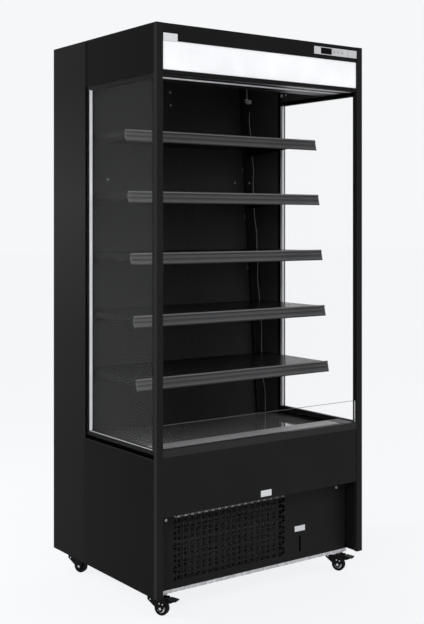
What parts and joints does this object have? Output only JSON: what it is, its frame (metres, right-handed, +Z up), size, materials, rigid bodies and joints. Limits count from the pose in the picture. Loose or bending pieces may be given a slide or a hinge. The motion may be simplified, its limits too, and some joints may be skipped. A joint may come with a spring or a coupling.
{
  "type": "open multideck display fridge",
  "caption": "Upright open-fronted multideck display fridge with lit canopy, glazed sides, shelves, a low riser glass, a service grille and castors.",
  "frame": {"origin": "on the floor, under the centre of the cabinet's outline", "axes": "+Z up, -Y towards the open front, +X to the right as seen from the front"},
  "size_m": [0.93, 0.72, 1.99],
  "materials": {
    "black_steel": "satin black powder coat",
    "grey_steel": "satin dark grey powder coat",
    "light_grey_steel": "satin light grey powder coat",
    "galvanised": "galvanised",
    "zinc": "bright zinc",
    "clear_glass": "clear float glass",
    "aluminium": "bright mill finish",
    "black_trim": "black",
    "diffuser": "opal white",
    "led": "white cover",
    "shelf_black": "gloss black powder coat",
    "price_rail": "smoke grey",
    "panel_silver": "silver grey",
    "key_grey": "grey",
    "white_plastic": "white",
    "blind_fabric": "metallised woven blind cloth",
    "blind_tube": "grey",
    "comb": "light grey",
    "castor_wheel": "grey wheel with black tread",
    "castor_brake": "black",
    "copper": "bare copper",
    "fan_black": "black",
    "pot_black": "gloss black",
    "box_grey": "grey"
  },
  "bodies": {
    "cabinet": {"base_frame": "galvanised", "front_posts": "black_steel", "lower_side_panels": "black_steel", "rear_side_panels": "black_steel", "canopy_sides": "black_steel", "canopy_top": "black_steel", "rear_wall": "black_steel", "rear_vent_panel": "black_steel", "front_panel": "black_steel", "grille_panel": "black_steel", "side_glass": "clear_glass", "glass_spacers": "aluminium", "glass_surrounds": "black_trim", "riser_glass": "clear_glass", "header_band": "black_steel", "canopy_lip": "black_steel", "light_panel": "diffuser", "header_lamp": "led", "canopy_duct": "black_steel", "air_honeycomb": "comb", "blind_cloth": "blind_fabric", "controller": "panel_silver", "tub": "black_steel", "deck_nose": "grey_steel", "return_grille": "light_grey_steel", "deck_tray": "shelf_black", "duct_panel": "black_steel", "shelf_uprights": "black_steel", "shelf_trays": "shelf_black", "shelf_brackets": "shelf_black", "price_strips": "price_rail", "temperature_probe": "white_plastic", "evaporator": "aluminium", "evaporator_fan_plate": "galvanised", "compressor": "pot_black", "condenser": "pot_black", "condenser_fan_shroud": "black_steel", "refrigerant_pipes": "copper", "electrical_box": "box_grey", "screws": "zinc", "castor_plates": "zinc"},
    "blind_bar": {"blind_bar": "aluminium"},
    "blind_roller": {"blind_roller": "blind_tube"},
    "condenser_fan": {"condenser_fan": "fan_black"},
    "evaporator_fan_left": {"evaporator_fan_left": "fan_black"},
    "evaporator_fan_right": {"evaporator_fan_right": "fan_black"},
    "set_key": {"controller_set_key": "key_grey"},
    "up_key": {"controller_up_key": "key_grey"},
    "down_key": {"controller_down_key": "key_grey"},
    "swivel_front_left": {"castor_fork_front_left": "black_steel"},
    "wheel_front_left": {"castor_wheel_front_left": "castor_wheel"},
    "swivel_front_right": {"castor_fork_front_right": "black_steel"},
    "wheel_front_right": {"castor_wheel_front_right": "castor_wheel"},
    "swivel_rear_left": {"castor_fork_rear_left": "black_steel"},
    "wheel_rear_left": {"castor_wheel_rear_left": "castor_wheel"},
    "swivel_rear_right": {"castor_fork_rear_right": "black_steel"},
    "wheel_rear_right": {"castor_wheel_rear_right": "castor_wheel"},
    "pedal_front_left": {"brake_pedal_front_left": "castor_brake"},
    "pedal_front_right": {"brake_pedal_front_right": "castor_brake"}
  },
  "joints": [
    {"name": "swivel_front_left", "type": "hinge", "parent": "cabinet", "child": "swivel_front_left", "pos_m": [-0.403, -0.265, 0.073], "axis": [0, 0, 1], "continuous": true},
    {"name": "roll_front_left", "type": "hinge", "parent": "swivel_front_left", "child": "wheel_front_left", "pos_m": [-0.392, -0.28405, 0.025], "axis": [0.866, 0.5, 0], "continuous": true},
    {"name": "swivel_front_right", "type": "hinge", "parent": "cabinet", "child": "swivel_front_right", "pos_m": [0.403, -0.265, 0.073], "axis": [0, 0, 1], "continuous": true},
    {"name": "roll_front_right", "type": "hinge", "parent": "swivel_front_right", "child": "wheel_front_right", "pos_m": [0.414, -0.28405, 0.025], "axis": [0.866, 0.5, 0], "continuous": true},
    {"name": "swivel_rear_left", "type": "hinge", "parent": "cabinet", "child": "swivel_rear_left", "pos_m": [-0.403, 0.295, 0.073], "axis": [0, 0, 1], "continuous": true},
    {"name": "roll_rear_left", "type": "hinge", "parent": "swivel_rear_left", "child": "wheel_rear_left", "pos_m": [-0.39336, 0.27523, 0.025], "axis": [0.8988, 0.4384, 0], "continuous": true},
    {"name": "swivel_rear_right", "type": "hinge", "parent": "cabinet", "child": "swivel_rear_right", "pos_m": [0.403, 0.295, 0.073], "axis": [0, 0, 1], "continuous": true},
    {"name": "roll_rear_right", "type": "hinge", "parent": "swivel_rear_right", "child": "wheel_rear_right", "pos_m": [0.40869, 0.27375, 0.025], "axis": [0.9659, 0.2588, 0], "continuous": true},
    {"name": "brake_front_left", "type": "hinge", "parent": "swivel_front_left", "child": "pedal_front_left", "pos_m": [-0.383, -0.29964, 0.056], "axis": [0.866, 0.5, 0], "range_deg": [0, 20]},
    {"name": "brake_front_right", "type": "hinge", "parent": "swivel_front_right", "child": "pedal_front_right", "pos_m": [0.423, -0.29964, 0.056], "axis": [0.866, 0.5, 0], "range_deg": [0, 20]},
    {"name": "blind_pull", "type": "slide", "parent": "cabinet", "child": "blind_bar", "axis": [0, 0, -1], "range_m": [0, 1.19], "stiffness_N_per_m": 10, "springref_m": -1, "deforming": ["blind_cloth"]},
    {"name": "blind_turn", "type": "hinge", "parent": "cabinet", "child": "blind_roller", "pos_m": [0, -0.307, 1.885], "axis": [1, 0, 0], "range_deg": [-1, 4000]},
    {"name": "condenser_fan_spin", "type": "hinge", "parent": "cabinet", "child": "condenser_fan", "pos_m": [-0.115, -0.162, 0.2], "axis": [0, 1, 0], "continuous": true},
    {"name": "evaporator_fan_left_spin", "type": "hinge", "parent": "cabinet", "child": "evaporator_fan_left", "pos_m": [-0.19, -0.21, 0.466], "axis": [0, 1, 0], "continuous": true},
    {"name": "evaporator_fan_right_spin", "type": "hinge", "parent": "cabinet", "child": "evaporator_fan_right", "pos_m": [0.19, -0.21, 0.466], "axis": [0, 1, 0], "continuous": true},
    {"name": "set_key_press", "type": "slide", "parent": "cabinet", "child": "set_key", "axis": [0, 1, 0], "range_m": [0, 0.0006], "stiffness_N_per_m": 600, "springref_m": -0.0005},
    {"name": "up_key_press", "type": "slide", "parent": "cabinet", "child": "up_key", "axis": [0, 1, 0], "range_m": [0, 0.0006], "stiffness_N_per_m": 600, "springref_m": -0.0005},
    {"name": "down_key_press", "type": "slide", "parent": "cabinet", "child": "down_key", "axis": [0, 1, 0], "range_m": [0, 0.0006], "stiffness_N_per_m": 600, "springref_m": -0.0005}
  ],
  "couplings": [
    {"joint": "blind_turn", "follows": "blind_pull", "rad_per_m": 58.139}
  ]
}
